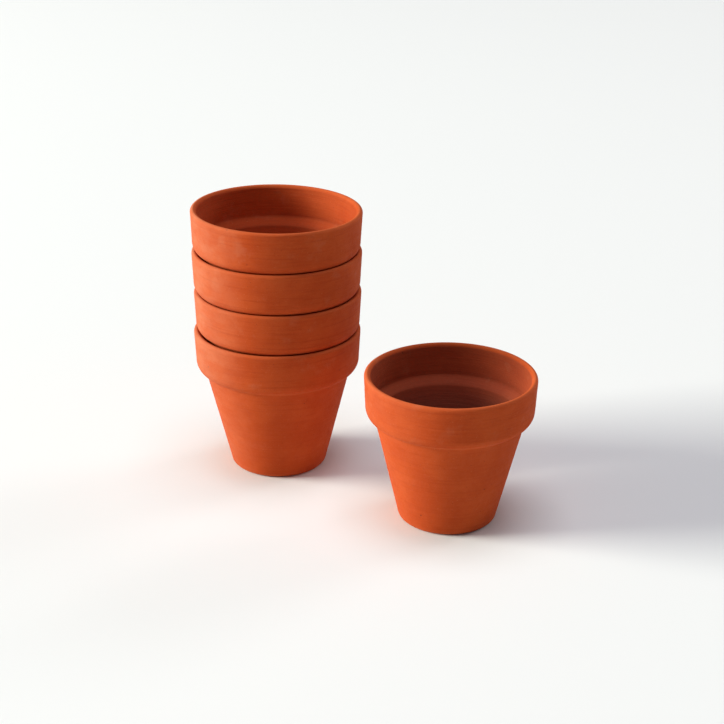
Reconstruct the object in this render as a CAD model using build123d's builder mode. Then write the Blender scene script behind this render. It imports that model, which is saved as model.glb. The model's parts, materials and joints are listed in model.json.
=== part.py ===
from build123d import *
import math
import os

# Terracotta plant pots of one pattern: four nested in a stack, and a fifth standing beside it.
# Millimetres, +Z up. The origin is the centre of the bottom pot's foot, on its drain hole's axis.
# Each pot is one piece of fired clay, so each pot is one solid.

# Outside of the pattern
pattern_rim_diameter = 130.0
pot_height = 113.5
lip_rounding = 2.3
collar_depth = 25.0
collar_draft = 1.1
shoulder_reach = 6.8
shoulder_drop = 8.2
foot_radius = 37.3
foot_rounding = 4.0
parting_ridge_height = 0.4
parting_ridge_width = 1.2

# Inside of the pattern
lip_crest_radius = 62.7
lip_inside_radius = 59.8
lip_inside_depth = 3.0
bore_wall_radius = 58.0
ledge_top_depth = 24.6
ledge_bottom_depth = 30.8
ledge_inner_radius = 52.2
corner_rounding = 3.0
floor_thickness = 7.0
floor_corner_rounding = 6.0
drain_hole_radius = 9.0
drain_hole_rounding = 1.5

# One row for each pot: its fired rim, the centre of its foot, and its lean towards +X in degrees.
# A nested pot hangs by its shoulder in the lip of the pot below, with about 0.3 mm to spare.
pots = {
    "stack_pot_1": {"rim": 130.0, "foot": (0.0, 0.0, 0.0), "lean": 0.0},
    "stack_pot_2": {"rim": 129.6, "foot": (0.35, 0.0, 31.95), "lean": 0.15},
    "stack_pot_3": {"rim": 130.9, "foot": (-0.2, 0.0, 64.1), "lean": 0.25},
    "stack_pot_4": {"rim": 131.3, "foot": (-1.3, 0.0, 96.1), "lean": 0.85},
    "loose_pot": {"rim": 127.0, "foot": (131.0, -92.0, 0.0), "lean": 0.0},
}

# Heights and radii that follow from the pattern
rim_radius = pattern_rim_diameter / 2
collar_bottom_radius = rim_radius - collar_draft
body_top_radius = collar_bottom_radius - shoulder_reach
body_top_height = pot_height - collar_depth - shoulder_drop
body_slope = (body_top_radius - foot_radius) / body_top_height
ridge_base_height = body_top_height - parting_ridge_width
ridge_base_radius = body_top_radius - body_slope * parting_ridge_width
ledge_bottom_height = pot_height - ledge_bottom_depth
floor_inner_radius = ledge_inner_radius - body_slope * (ledge_bottom_height - floor_thickness)


def make_pot(label, rim, foot, lean):
    """Turn a pot's half section about its own axis, with radii widened to its fired rim."""
    spread = rim / pattern_rim_diameter
    tilt = math.radians(lean)
    section = Plane(origin=foot, x_dir=(math.cos(tilt), 0, -math.sin(tilt)), z_dir=(0, -1, 0))
    axis = Axis(foot, (math.sin(tilt), 0, math.cos(tilt)))

    def at(radius, height):
        return (radius * spread, height)

    with BuildPart() as pot:
        with BuildSketch(section):
            with BuildLine():
                # foot and body wall, up to the parting ridge
                FilletPolyline(
                    at(drain_hole_radius, 0),
                    at(foot_radius, 0),
                    at(ridge_base_radius, ridge_base_height),
                    radius=foot_rounding,
                )
                ThreePointArc(
                    at(ridge_base_radius, ridge_base_height),
                    at(body_top_radius + parting_ridge_height, body_top_height - parting_ridge_width / 2),
                    at(body_top_radius, body_top_height),
                )
                # bulging shoulder and the collar above it
                EllipticalCenterArc(
                    at(body_top_radius, pot_height - collar_depth),
                    shoulder_reach * spread,
                    shoulder_drop,
                    start_angle=-90,
                    arc_size=90,
                )
                Line(at(collar_bottom_radius, pot_height - collar_depth), at(rim_radius, pot_height - lip_rounding))
                # full round lip, with the next pot's shoulder hanging on its inner side
                EllipticalCenterArc(
                    at(lip_crest_radius, pot_height - lip_rounding),
                    (rim_radius - lip_crest_radius) * spread,
                    lip_rounding,
                    start_angle=0,
                    arc_size=90,
                )
                EllipticalCenterArc(
                    at(lip_crest_radius, pot_height - lip_inside_depth),
                    (lip_crest_radius - lip_inside_radius) * spread,
                    lip_inside_depth,
                    start_angle=90,
                    arc_size=90,
                )
                # inside: collar wall, sloping ledge, body wall, floor and drain hole
                FilletPolyline(
                    at(lip_inside_radius, pot_height - lip_inside_depth),
                    at(bore_wall_radius, pot_height - ledge_top_depth),
                    at(ledge_inner_radius, ledge_bottom_height),
                    at(floor_inner_radius, floor_thickness),
                    at(drain_hole_radius, floor_thickness),
                    at(drain_hole_radius, 0),
                    radius=[corner_rounding, corner_rounding, floor_corner_rounding, drain_hole_rounding],
                )
            make_face()
        revolve(axis=axis)
    pot.part.label = label
    return pot


os.makedirs("parts", exist_ok=True)
for name, row in pots.items():
    pot = make_pot(name, row["rim"], row["foot"], row["lean"])
    export_step(pot.part, f"parts/{name}.step")
    print(name, "volume cm3", round(pot.part.volume / 1000, 1), "valid", pot.part.is_valid)
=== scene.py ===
"""Nested and loose terracotta plant pots on a plain pale floor. Metres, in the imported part's own frame."""

import json
import math

import bpy
import numpy as np
from mathutils import Matrix, Vector


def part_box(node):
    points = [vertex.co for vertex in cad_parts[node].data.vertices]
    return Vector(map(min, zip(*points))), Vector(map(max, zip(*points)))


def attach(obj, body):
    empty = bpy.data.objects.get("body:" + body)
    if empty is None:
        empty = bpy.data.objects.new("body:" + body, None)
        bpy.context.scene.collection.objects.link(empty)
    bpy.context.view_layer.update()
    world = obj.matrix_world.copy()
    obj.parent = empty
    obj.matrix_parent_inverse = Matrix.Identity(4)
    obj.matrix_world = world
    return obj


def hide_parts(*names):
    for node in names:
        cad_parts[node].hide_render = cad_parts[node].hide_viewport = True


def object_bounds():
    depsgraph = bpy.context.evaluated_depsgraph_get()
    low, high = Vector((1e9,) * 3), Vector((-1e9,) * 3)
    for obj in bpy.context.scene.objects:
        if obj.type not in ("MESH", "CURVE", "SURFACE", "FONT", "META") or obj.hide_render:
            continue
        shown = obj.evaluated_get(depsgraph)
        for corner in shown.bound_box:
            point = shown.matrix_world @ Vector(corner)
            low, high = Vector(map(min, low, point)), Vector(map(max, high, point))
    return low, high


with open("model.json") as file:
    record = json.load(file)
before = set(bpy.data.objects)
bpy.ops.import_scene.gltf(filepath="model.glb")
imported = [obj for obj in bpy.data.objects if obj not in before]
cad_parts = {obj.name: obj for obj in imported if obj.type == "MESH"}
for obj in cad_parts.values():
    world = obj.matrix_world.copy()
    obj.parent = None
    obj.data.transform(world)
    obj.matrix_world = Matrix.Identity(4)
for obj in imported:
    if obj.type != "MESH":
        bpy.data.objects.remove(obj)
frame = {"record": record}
cad_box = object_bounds()

# --------------------------------------------------------------------------------------------------
# The pot pattern: half a section, in millimetres from the foot's centre
# --------------------------------------------------------------------------------------------------
MM = 0.001
RIM_RADIUS = 65.0
HEIGHT = 113.5
LIP_ROUNDING = 2.3
LIP_CREST_RADIUS = 62.7
LIP_INSIDE_RADIUS = 59.8
LIP_INSIDE_DEPTH = 3.0
COLLAR_DEPTH = 25.0
COLLAR_DRAFT = 1.1
SHOULDER_REACH = 6.8
SHOULDER_DROP = 8.2
RIDGE_HEIGHT = 0.4
RIDGE_WIDTH = 1.2
RIDGE_STEPS = 6
FOOT_RADIUS = 37.3
FOOT_ROUNDING = 4.0
BORE_WALL_RADIUS = 58.0
LEDGE_TOP_DEPTH = 24.6
LEDGE_BOTTOM_DEPTH = 30.8
LEDGE_INNER_RADIUS = 52.2
INNER_ROUNDING = 3.0
FLOOR_THICKNESS = 7.0
FLOOR_ROUNDING = 6.0
HOLE_RADIUS = 9.0
HOLE_ROUNDING = 1.5
# heights that follow from them
LIP_EDGE = HEIGHT - LIP_INSIDE_DEPTH / 2
BODY_TOP_RADIUS = RIM_RADIUS - COLLAR_DRAFT - SHOULDER_REACH
BODY_TOP = HEIGHT - COLLAR_DEPTH - SHOULDER_DROP
BODY_SLOPE = (BODY_TOP_RADIUS - FOOT_RADIUS) / BODY_TOP
RIDGE_FOOT = BODY_TOP - RIDGE_WIDTH
LEDGE_BOTTOM = HEIGHT - LEDGE_BOTTOM_DEPTH
FLAT_FOOT_RADIUS = FOOT_RADIUS - FOOT_ROUNDING * math.tan((math.pi / 2 - math.atan(BODY_SLOPE)) / 2)
FLOOR_INNER_RADIUS = LEDGE_INNER_RADIUS - BODY_SLOPE * (LEDGE_BOTTOM - FLOOR_THICKNESS)

SEGMENTS = 240      # round the pot
LONG_STEP = 1.1     # along straight walls of the section, mm
ROUND_STEP = 0.45   # along its roundings, mm
RING_DEPTH = 0.15   # deepest turning ring, mm
SWELL = 0.22        # slow unevenness of the wall, mm
RING_SPACING = 1.9
BROAD_RING_SPACING = 7.0
RING_RANGE = (-5, 120)    # heights that the rings cover, a little past the pot's ends, mm
CALM = 0.15         # share of the pressing left on the standing foot and round the drain hole
FOOT_BAND = 0.5     # how high up that foot reaches, mm
HOLE_BAND = 2       # how far round the hole's lower edge, mm
CLAY_SHIFT = 170.0  # between one pot's place in the clay's noise and the next, mm


def ellipse(centre, reach, rise, start, end):
    """Points along a quarter of an ellipse, from start to end degrees."""
    steps = max(4, int(abs(math.radians(end - start)) * max(reach, rise) / ROUND_STEP))
    turns = [math.radians(start + (end - start) * k / steps) for k in range(steps + 1)]
    return [(centre[0] + reach * math.cos(t), centre[1] + rise * math.sin(t)) for t in turns]


def rounded(corners, radii):
    """A run of straight lines through corners, with the inner ones rounded."""
    points = [Vector(corners[0])]
    for before, corner, after, radius in zip(corners, corners[1:], corners[2:], radii):
        here = Vector(corner)
        back = (Vector(before) - here).normalized()
        ahead = (Vector(after) - here).normalized()
        half = back.angle(ahead) / 2
        reach = radius / math.tan(half)
        centre = here + (back + ahead).normalized() * (radius / math.sin(half))
        first = here + back * reach - centre
        sweep = math.pi - 2 * half
        side = 1 if first.cross(here + ahead * reach - centre) > 0 else -1
        steps = max(3, int(sweep * radius / ROUND_STEP))
        for k in range(steps + 1):
            turn = side * sweep * k / steps
            spoke = Matrix.Rotation(turn, 2) @ first
            points.append(centre + spoke)
    points.append(Vector(corners[-1]))
    return [tuple(p) for p in points]


def split_long(points, step):
    """The same path with its long runs divided, so that rings and swell have points to move."""
    out = [points[0]]
    for a, b in zip(points, points[1:]):
        length = math.dist(a, b)
        if length < 1e-6:
            continue
        parts = max(1, round(length / step))
        for k in range(1, parts + 1):
            out.append((a[0] + (b[0] - a[0]) * k / parts, a[1] + (b[1] - a[1]) * k / parts))
    return out


def pot_section():
    """The closed half section as (radius, height) rows, and the index where the inside begins."""
    ridge_foot_radius = BODY_TOP_RADIUS - BODY_SLOPE * RIDGE_WIDTH
    outside = rounded(
        [(HOLE_RADIUS, 0), (FOOT_RADIUS, 0), (ridge_foot_radius, RIDGE_FOOT)],
        [FOOT_ROUNDING],
    )
    for k in range(1, RIDGE_STEPS + 1):
        along = k / RIDGE_STEPS
        bulge = RIDGE_HEIGHT * math.sin(math.pi * along)
        outside.append((
            ridge_foot_radius + (BODY_TOP_RADIUS - ridge_foot_radius) * along + bulge,
            RIDGE_FOOT + RIDGE_WIDTH * along,
        ))
    outside += ellipse((BODY_TOP_RADIUS, HEIGHT - COLLAR_DEPTH), SHOULDER_REACH, SHOULDER_DROP, -90, 0)
    lip = (LIP_CREST_RADIUS, HEIGHT - LIP_ROUNDING)
    outside += ellipse(lip, RIM_RADIUS - LIP_CREST_RADIUS, LIP_ROUNDING, 0, 90)
    lip_inside = (LIP_CREST_RADIUS, HEIGHT - LIP_INSIDE_DEPTH)
    inside = ellipse(lip_inside, LIP_CREST_RADIUS - LIP_INSIDE_RADIUS, LIP_INSIDE_DEPTH, 90, 180)
    inside += rounded(
        [
            (LIP_INSIDE_RADIUS, HEIGHT - LIP_INSIDE_DEPTH),
            (BORE_WALL_RADIUS, HEIGHT - LEDGE_TOP_DEPTH),
            (LEDGE_INNER_RADIUS, LEDGE_BOTTOM),
            (FLOOR_INNER_RADIUS, FLOOR_THICKNESS),
            (HOLE_RADIUS, FLOOR_THICKNESS),
            (HOLE_RADIUS, 0),
        ],
        [INNER_ROUNDING, INNER_ROUNDING, FLOOR_ROUNDING, HOLE_ROUNDING],
    )
    outside = split_long(outside, LONG_STEP)
    inside = split_long([outside[-1]] + inside, LONG_STEP)[1:-1]
    return np.array(outside + inside), len(outside)


def smooth_noise(rng, low, high, spacing):
    """A smooth random curve from -1 to 1 over low..high, as a function."""
    knots = rng.uniform(-1, 1, int((high - low) / spacing) + 4)

    def curve(x):
        place = np.clip((x - low) / spacing, 0, len(knots) - 2.001)
        index = place.astype(int)
        part = place - index
        part = part * part * (3 - 2 * part)
        return knots[index] * (1 - part) + knots[index + 1] * part

    return curve


# --------------------------------------------------------------------------------------------------
# Pots
# --------------------------------------------------------------------------------------------------
def pot_place(node):
    """Where a pot stands, from its box: its matrix, and how wide it was fired. Pots lean only towards
    +X, which leaves the box's depth alone, makes it taller, and carries its middle over with the rim."""
    low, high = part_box(node)
    spread = (high.y - low.y) / (2 * RIM_RADIUS * MM)
    extra_height = max(0, (high.z - low.z) / MM - HEIGHT)
    lean = math.asin(extra_height / ((LIP_CREST_RADIUS + FLAT_FOOT_RADIUS) * spread))
    middle = (low + high) / 2
    foot = Vector((
        middle.x - (HEIGHT - LIP_ROUNDING) * MM * math.sin(lean),
        middle.y,
        low.z + FLAT_FOOT_RADIUS * spread * MM * math.sin(lean),
    ))
    return Matrix.Translation(foot) @ Matrix.Rotation(lean, 4, "Y"), spread


def closeness(heights, radii, places, reach):
    """From 0 to 1, how near each point of the section is to any of the given (radius, height) places."""
    near = np.zeros(len(heights))
    for radius, height in places:
        gap = np.hypot(radii - radius, heights - height)
        near = np.maximum(near, np.exp(-(gap / reach) ** 2))
    return near


# places on the section, as (radius, height): inner corners and the shoulder's underside by the ridge, where
# shade is painted; the lip's crest, worn and with a painted highlight, and the worn foot; the ridge, with a
# painted highlight
RECESSES = [
    (LEDGE_INNER_RADIUS, LEDGE_BOTTOM),
    (BORE_WALL_RADIUS, HEIGHT - LEDGE_TOP_DEPTH),
    (FLOOR_INNER_RADIUS, FLOOR_THICKNESS),
]
EDGES = [
    (LIP_CREST_RADIUS, HEIGHT),
    (FOOT_RADIUS, 0.5),
]
RIDGE = [(BODY_TOP_RADIUS + RIDGE_HEIGHT, RIDGE_FOOT + RIDGE_WIDTH / 2)]
# the shoulder's underside just above the ridge, where shade is painted
SHOULDER_SHADE_PLACES = [(BODY_TOP_RADIUS + 0.5, BODY_TOP + 0.5), (BODY_TOP_RADIUS + 3.2, BODY_TOP + 2.0)]
CORNER_REACH = 2.2    # how far each kind of place shows along the section, mm
RIDGE_REACH = 0.7
SHOULDER_SHADE_REACH = 0.5
LIP_FADE = 0.8        # over which the inside begins below the lip's edge, mm
BODY_BLOOM_AND_HIGHLIGHT = 0.45     # bloom and painted highlight on the body, against 1 on the collar
BLOOM_AND_HIGHLIGHT_FROM = 0.30     # how far towards the lit -X side the bloom and painted highlight start, as a share of the radius
BLOOM_AND_HIGHLIGHT_FADE = 0.62     # and over how much more it becomes full

# how much shade is painted inside each pot, and how much lime bloom with a painted highlight is down its lit
# left, -X, side
STACK_INSIDE_SHADE = 0.22
LOOSE_INSIDE_SHADE = 0.92
STACK_BLOOM_AND_HIGHLIGHT = 1.0
LOOSE_BLOOM_AND_HIGHLIGHT = 0.25


def outward_normals(section):
    """The section's outward normals, which the surface is pressed in against."""
    run = np.roll(section, -1, axis=0) - np.roll(section, 1, axis=0)
    normals = np.stack([run[:, 1], -run[:, 0]], axis=1)
    return normals / np.linalg.norm(normals, axis=1)[:, None]


def turned_surface(section, angles, spread, seed):
    """Points of the section turned round, with turning rings and a slow swell pressed in, in millimetres."""
    rng = np.random.default_rng(seed)
    rings = smooth_noise(rng, *RING_RANGE, RING_SPACING)
    broad_rings = smooth_noise(rng, *RING_RANGE, BROAD_RING_SPACING)
    radii, heights = section[:, 0], section[:, 1]
    normals = outward_normals(section)
    angle, height = np.meshgrid(angles, heights, indexing="ij")

    # each ring wanders up and down a little as it goes round
    wander = 1.4 * np.sin(angle + seed) + 0.6 * np.sin(2 * angle - 2 * seed)
    ring = 0.5 + 0.5 * rings(height + wander)
    ring = ring * 0.6 + 0.4 * (0.5 + 0.5 * broad_rings(height + wander))
    lobes = 0.5 + 0.25 * np.sin(2 * angle + seed + height / 60)
    lobes += 0.25 * np.sin(3 * angle - seed - height / 35)
    steep = np.abs(normals[:, 0])           # rings run round the walls, not over the flat foot and floor
    pressed = RING_DEPTH * ring * steep + SWELL * lobes * steep
    by_hole = np.hypot(radii - HOLE_RADIUS, heights) < HOLE_BAND
    pressed[:, (heights < FOOT_BAND) | by_hole] *= CALM

    moved_radius = radii - pressed * normals[:, 0]
    moved_height = heights - pressed * normals[:, 1]
    across = moved_radius * spread * np.cos(angle)
    deep = moved_radius * spread * np.sin(angle)
    return np.stack([across, deep, moved_height], axis=-1).reshape(-1, 3)


def turned_faces(count):
    """Four-sided faces between each turn of a closed section of count points and the next turn."""
    here = np.arange(SEGMENTS * count).reshape(SEGMENTS, count)
    round_next = np.roll(here, -1, axis=0)
    along_next = np.roll(here, -1, axis=1)
    both = np.roll(round_next, -1, axis=1)
    return np.stack([here, round_next, both, along_next], axis=-1).reshape(-1, 4)


def clay_marks(section, inside_from, angles, inside_shade_strength, bloom_and_painted_highlight):
    """What the clay's material reads at each point: rows of values along the section, or a full grid."""
    radii, heights = section[:, 0], section[:, 1]
    outer = np.arange(len(section)) < inside_from
    # bloom with a painted highlight lies on the lit side towards -X, and is thinner on the body than on the
    # collar
    high_up = np.interp(heights, [BODY_TOP, HEIGHT - COLLAR_DEPTH], [BODY_BLOOM_AND_HIGHLIGHT, 1.0])
    lit_side = np.clip((-np.cos(angles)[:, None] - BLOOM_AND_HIGHLIGHT_FROM) / BLOOM_AND_HIGHLIGHT_FADE, 0, 1)
    return {
        # painted shade in the inner corners
        "corner_shade": closeness(heights, radii, RECESSES, CORNER_REACH),
        "edge": closeness(heights, radii, EDGES, CORNER_REACH),
        # where the ridge's painted highlight goes
        "ridge": closeness(heights, radii, RIDGE, RIDGE_REACH),
        # painted shade under the shoulder
        "shoulder_shade": closeness(heights, radii, SHOULDER_SHADE_PLACES, SHOULDER_SHADE_REACH),
        "inside": np.where(outer, 0, np.clip((LIP_EDGE - heights) / LIP_FADE, 0, 1)),
        "rise": heights / HEIGHT,
        # painted shade inside
        "inside_shade": np.full(len(section), inside_shade_strength),
        # lime bloom with a painted highlight on the lit -X side
        "bloom_and_painted_highlight": bloom_and_painted_highlight * outer * (lit_side * high_up),
    }


def make_pot(node, seed):
    """One pot as a closed mesh where its node stands, with the marks that its material reads."""
    section, inside_from = pot_section()
    angles = np.linspace(0, 2 * np.pi, SEGMENTS, endpoint=False)
    matrix, spread = pot_place(node)
    local = turned_surface(section, angles, spread, seed)
    faces = turned_faces(len(section))
    mesh = bpy.data.meshes.new(node + "_clay")
    mesh.from_pydata((local * MM).tolist(), [], faces.tolist())
    mesh.polygons.foreach_set("use_smooth", np.ones(len(faces), bool))

    clay = mesh.attributes.new("clay", "FLOAT_VECTOR", "POINT")
    clay.data.foreach_set("vector", (local + CLAY_SHIFT * seed).astype(np.float32).ravel())
    loose = node == "loose_pot"
    # how much shade is painted inside this pot, and how much bloom with a painted highlight is on its lit
    # side
    inside_shade_strength = LOOSE_INSIDE_SHADE if loose else STACK_INSIDE_SHADE
    bloom_and_painted_highlight = LOOSE_BLOOM_AND_HIGHLIGHT if loose else STACK_BLOOM_AND_HIGHLIGHT
    for name, values in clay_marks(section, inside_from, angles, inside_shade_strength, bloom_and_painted_highlight).items():
        layer = mesh.attributes.new(name, "FLOAT", "POINT")
        grid = np.broadcast_to(values, (SEGMENTS, len(section)))
        layer.data.foreach_set("value", grid.astype(np.float32).ravel())
    mesh.transform(matrix)
    mesh.update()

    pot = bpy.data.objects.new(node + "_clay", mesh)
    bpy.context.scene.collection.objects.link(pot)
    return pot


# --------------------------------------------------------------------------------------------------
# Materials
# --------------------------------------------------------------------------------------------------
class Shader:
    """A material's node tree, with short calls for the nodes used here."""

    def __init__(self, name):
        self.material = bpy.data.materials.new(name)
        self.material.use_nodes = True
        self.tree = self.material.node_tree
        self.surface = self.tree.nodes["Principled BSDF"]

    def node(self, kind, inputs=(), **settings):
        made = self.tree.nodes.new(kind)
        for key, value in settings.items():
            setattr(made, key, value)
        for key, value in dict(inputs).items():
            self.feed(made.inputs[key], value)
        return made

    def feed(self, socket, value):
        if isinstance(value, bpy.types.NodeSocket):
            self.tree.links.new(value, socket)
        else:
            socket.default_value = value

    def mark(self, name, output="Fac"):
        return self.node("ShaderNodeAttribute", attribute_name=name).outputs[output]

    def stretch(self, vector, scale):
        return self.node("ShaderNodeMapping", {"Vector": vector, "Scale": scale}).outputs["Vector"]

    def noise(self, vector, scale, detail=2.0, roughness=0.5):
        inputs = {"Vector": vector, "Scale": scale, "Detail": detail, "Roughness": roughness}
        return self.node("ShaderNodeTexNoise", inputs).outputs["Fac"]

    def ramp(self, value, low, high, to_low=0.0, to_high=1.0):
        inputs = {"Value": value, "From Min": low, "From Max": high, "To Min": to_low, "To Max": to_high}
        made = self.node("ShaderNodeMapRange", inputs, interpolation_type="SMOOTHSTEP")
        return made.outputs["Result"]

    def maths(self, operation, first, second=0.0):
        made = self.node("ShaderNodeMath", {0: first, 1: second}, operation=operation)
        return made.outputs[0]

    def blend(self, factor, first, second):
        made = self.node("ShaderNodeMix", data_type="RGBA")
        self.feed(made.inputs["Factor"], factor)
        self.feed(made.inputs[6], first)
        self.feed(made.inputs[7], second)
        return made.outputs[2]

    def coat(self, colour, mask, amount, over):
        """The colour with another laid over it where the mask is, as strongly as amount says."""
        return self.blend(self.maths("MULTIPLY", mask, amount), colour, over)

    def bump(self, height, depth, below=None):
        """Raises the surface by height times depth, in metres, on top of any bump below it."""
        made = self.node("ShaderNodeBump", {"Height": height, "Distance": depth, "Strength": 1.0})
        if below is not None:
            self.tree.links.new(below, made.inputs["Normal"])
        return made.outputs["Normal"]


CLAY = (0.48, 0.064, 0.0125, 1)
CLAY_LIGHT = (0.53, 0.080, 0.017, 1)
CLAY_DARK = (0.41, 0.049, 0.010, 1)
# a lighter clay for the worn foot and lip, also laid on the lip's crest and the ridge as a painted highlight
CLAY_WORN_AND_HIGHLIGHT = (0.58, 0.125, 0.038, 1)
# painted shade: a darker clay for the inner corners and under the shoulder
CLAY_PAINTED_SHADE = (0.27, 0.047, 0.019, 1)
# whitish lime bloom, also laid down the lit -X side as a painted highlight
LIME_AND_HIGHLIGHT = (0.60, 0.27, 0.16, 1)
SAND = (0.66, 0.28, 0.15, 1)
IRON = (0.13, 0.030, 0.016, 1)
INSIDE_SHADE_COLOUR = (0.13, 0.054, 0.045, 1)     # painted shade inside: a darker, greyer clay
# depths of the fine relief, in metres
RING_BUMP = 0.00026
GRAIN_BUMP = 0.00007
FINE_BUMP = 0.000025
PIT_BUMP = 0.00045
CLAY_SPECULAR = 0.08    # unglazed clay hardly shines


def terracotta():
    """Unglazed fired clay: mottled, streaked by turning, gritty, pitted, with lime bloom. Painted on it as
    well: shade in the inner corners, under the shoulder and deep inside, and highlights on the lip's crest,
    the ridge and, with the bloom, the lit -X side. Noise scales are per millimetre, because the clay mark
    holds each point's place in its pot in millimetres, shifted by pot so that no two pots are marked alike."""
    s = Shader("terracotta")
    place = s.mark("clay", "Vector")
    edge, corner_shade, inside, rise = (s.mark(name) for name in ("edge", "corner_shade", "inside", "rise"))
    ridge, shoulder_shade = s.mark("ridge"), s.mark("shoulder_shade")

    # colour: slow mottle, turning streaks, then grains
    mottle = s.noise(place, 0.035, 3.0, 0.55)
    patch = s.noise(place, 0.13, 4.0, 0.6)
    streak = s.noise(s.stretch(place, (0.02, 0.02, 0.62)), 1.0, 4.0, 0.65)
    grain = s.noise(place, 1.5, 3.0, 0.7)
    colour = s.blend(s.ramp(mottle, 0.35, 0.68), CLAY, CLAY_LIGHT)
    colour = s.coat(colour, s.ramp(patch, 0.48, 0.75), 0.22, CLAY_DARK)
    drawn = s.ramp(rise, 0.60, 0.74, 0.30, 0.46)        # turning shows more on the collar
    colour = s.coat(colour, s.ramp(streak, 0.50, 0.68), drawn, CLAY_LIGHT)
    colour = s.coat(colour, s.ramp(streak, 0.48, 0.32), drawn, CLAY_DARK)
    colour = s.coat(colour, s.ramp(grain, 0.52, 0.74), 0.20, CLAY_DARK)
    colour = s.coat(colour, s.ramp(grain, 0.46, 0.26), 0.12, SAND)

    # painted shade inside, greyer and darker towards the bottom
    deep = s.maths("MULTIPLY", inside, s.ramp(rise, 0.88, 0.50, 0.34, 0.80))
    colour = s.coat(colour, deep, s.mark("inside_shade"), INSIDE_SHADE_COLOUR)

    # grit: single sand and iron grains
    grit = s.node("ShaderNodeTexVoronoi", {"Vector": place, "Scale": 0.42, "Randomness": 1.0})
    kind = s.node("ShaderNodeSeparateColor", {"Color": grit.outputs["Color"]})
    dot = s.ramp(grit.outputs["Distance"], 0.20, 0.10)
    iron = s.maths("MULTIPLY", dot, s.ramp(kind.outputs[0], 0.90, 0.93))
    sand = s.maths("MULTIPLY", dot, s.ramp(kind.outputs[1], 0.86, 0.90))
    colour = s.coat(colour, iron, 0.40, IRON)
    colour = s.coat(colour, sand, 0.14, SAND)

    # pits left by burst air bubbles
    pits = s.node("ShaderNodeTexVoronoi", {"Vector": place, "Scale": 0.085, "Randomness": 1.0})
    which = s.node("ShaderNodeSeparateColor", {"Color": pits.outputs["Color"]})
    hollow = s.ramp(pits.outputs["Distance"], 0.075, 0.03)
    pit = s.maths("MULTIPLY", hollow, s.ramp(which.outputs[2], 0.72, 0.75))
    colour = s.coat(colour, pit, 0.65, IRON)

    # handling wears the foot and lip; painted highlight on the lip's crest and the ridge; painted shade in
    # the inner corners and under the shoulder; lime bloom on the collar, and lime bloom with a painted
    # highlight down the lit -X side
    # the foot and lip lighter: wear, and on the lip's crest a painted highlight too
    colour = s.coat(colour, edge, 0.50, CLAY_WORN_AND_HIGHLIGHT)
    # a lighter line along the ridge: painted highlight
    colour = s.coat(colour, ridge, 0.55, CLAY_WORN_AND_HIGHLIGHT)
    # painted shade under the shoulder
    colour = s.coat(colour, shoulder_shade, 0.40, CLAY_PAINTED_SHADE)
    # painted shade in the inner corners
    colour = s.coat(colour, corner_shade, 0.25, CLAY_PAINTED_SHADE)
    bloom_patch = s.ramp(s.noise(place, 0.055, 5.0, 0.62), 0.56, 0.74)
    collar = s.ramp(rise, 0.66, 0.80, 0.25, 1.0)
    bloom_and_painted_highlight = s.maths("MULTIPLY", s.maths("MULTIPLY", bloom_patch, collar), 0.12)
    colour = s.blend(bloom_and_painted_highlight, colour, LIME_AND_HIGHLIGHT)
    # lime bloom with a painted highlight down the lit -X side
    side_bloom_and_highlight = s.ramp(s.noise(s.stretch(place, (0.05, 0.05, 0.11)), 1.0, 4.0, 0.6), 0.34, 0.66, 0.20, 0.38)
    colour = s.coat(colour, s.mark("bloom_and_painted_highlight"), side_bloom_and_highlight, LIME_AND_HIGHLIGHT)
    s.feed(s.surface.inputs["Base Color"], colour)

    # finish
    rough = s.ramp(s.noise(place, 0.35, 4.0, 0.6), 0.3, 0.7, 0.70, 0.92)
    rough = s.maths("SUBTRACT", rough, s.maths("MULTIPLY", edge, 0.12))
    s.feed(s.surface.inputs["Roughness"], rough)
    s.surface.inputs["Specular IOR Level"].default_value = CLAY_SPECULAR
    rings = s.noise(s.stretch(place, (0.03, 0.03, 1.6)), 1.0, 3.0, 0.6)
    normal = s.bump(rings, RING_BUMP)
    normal = s.bump(grain, GRAIN_BUMP, normal)
    normal = s.bump(s.noise(place, 4.2, 2.0, 0.6), FINE_BUMP, normal)
    normal = s.bump(s.maths("SUBTRACT", 1.0, pit), PIT_BUMP, normal)
    s.feed(s.surface.inputs["Normal"], normal)
    return s.material


def plain_floor():
    """A matt white studio floor."""
    s = Shader("studio_floor")
    s.surface.inputs["Base Color"].default_value = FLOOR_COLOUR
    s.surface.inputs["Roughness"].default_value = 0.9
    return s.material


# --------------------------------------------------------------------------------------------------
# Studio
# --------------------------------------------------------------------------------------------------
CAMERA_PLACE = (0.0662, -1.1293, 0.5562)
CAMERA_PITCH = 22.704     # degrees below the horizon
CAMERA_ROLL = 0.533
CAMERA_LENS = 77.2
FLOOR_COLOUR = (0.84, 0.84, 0.84, 1)
FLOOR_REACH = 14.0        # to each side
FLOOR_GAP = 0.0002        # below the feet
LIT_PLACE = (0.05, -0.04, 0.09)
WORLD_COLOUR = (0.95, 0.98, 1.05, 1)
WORLD_BRIGHTNESS = 0.14


def make_camera():
    camera = bpy.data.objects.new("camera", bpy.data.cameras.new("camera"))
    camera.data.lens = CAMERA_LENS
    camera.data.clip_end = 50
    pitch, roll = math.radians(CAMERA_PITCH), math.radians(CAMERA_ROLL)
    ahead = Vector((0, math.cos(pitch), -math.sin(pitch)))
    level_up = Vector((0, math.sin(pitch), math.cos(pitch)))
    level_right = Vector((1, 0, 0))
    right = level_right * math.cos(roll) + level_up * math.sin(roll)
    up = level_up * math.cos(roll) - level_right * math.sin(roll)
    turn = Matrix((right, up, -ahead)).transposed().to_4x4()
    camera.matrix_world = Matrix.Translation(CAMERA_PLACE) @ turn
    bpy.context.scene.collection.objects.link(camera)
    bpy.context.scene.camera = camera


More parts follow.
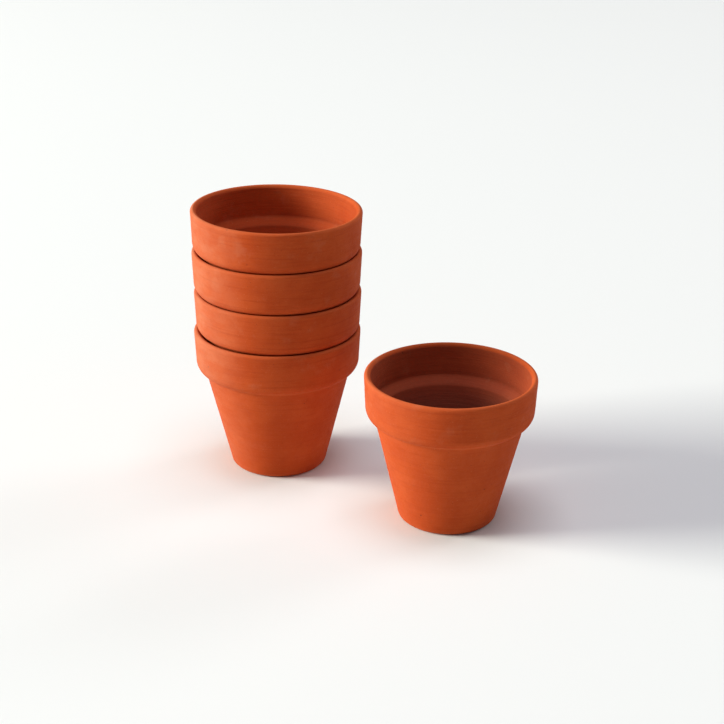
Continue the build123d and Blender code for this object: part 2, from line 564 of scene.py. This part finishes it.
def make_softbox(name, azimuth, elevation, distance, size, strength, colour=(1, 1, 1)):
    """A soft light aimed at the pots. Azimuth 0 is the camera's side and 90 the right. Strength is the light
    that a surface facing it gets, where 1 shows a white surface as white."""
    a, e = math.radians(azimuth), math.radians(elevation)
    away = Vector((math.sin(a) * math.cos(e), -math.cos(a) * math.cos(e), math.sin(e)))
    light = bpy.data.lights.new(name, "AREA")
    light.shape = "RECTANGLE"
    light.size, light.size_y = size
    light.energy = strength * (math.pi * distance) ** 2
    light.color = colour
    lamp = bpy.data.objects.new(name, light)
    place = Vector(LIT_PLACE) + away * distance
    lamp.matrix_world = Matrix.Translation(place) @ (-away).to_track_quat("-Z", "Y").to_matrix().to_4x4()
    bpy.context.scene.collection.objects.link(lamp)


def make_floor():
    mesh = bpy.data.meshes.new("floor")
    far = FLOOR_REACH
    corners = [(-far, -far, 0), (far, -far, 0), (far, far, 0), (-far, far, 0)]
    mesh.from_pydata(corners, [], [(0, 1, 2, 3)])
    mesh.materials.append(plain_floor())
    floor = bpy.data.objects.new("floor", mesh)
    floor.location.z = cad_box[0].z - FLOOR_GAP
    bpy.context.scene.collection.objects.link(floor)


def make_world():
    """The same dim, slightly cool light from every side."""
    world = bpy.data.worlds.new("studio")
    world.use_nodes = True
    background = world.node_tree.nodes["Background"]
    background.inputs["Color"].default_value = WORLD_COLOUR
    background.inputs["Strength"].default_value = WORLD_BRIGHTNESS
    bpy.context.scene.world = world


def make_studio():
    make_floor()
    make_softbox(
        "key", azimuth=-88, elevation=20, distance=10.0, size=(4.0, 4.0),
        strength=1.56, colour=(1.0, 1.03, 0.92),
    )
    make_softbox(
        "overhead", azimuth=0, elevation=89, distance=14.0, size=(8.4, 8.4),
        strength=0.48, colour=(0.98, 0.98, 1.04),
    )
    make_softbox("rim", azimuth=122, elevation=18, distance=8.0, size=(2.6, 3.2), strength=0.24)
    make_world()
    make_camera()
    bpy.context.scene.view_settings.view_transform = "Standard"


# --------------------------------------------------------------------------------------------------
# The scene
# --------------------------------------------------------------------------------------------------
clay_material = terracotta()
for seed, (body, nodes) in enumerate(sorted(frame["record"]["behaviour"]["bodies"].items()), start=1):
    for node in nodes:
        pot = make_pot(node, seed)
        pot.data.materials.append(clay_material)
        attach(pot, body)
        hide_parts(node)
make_studio()
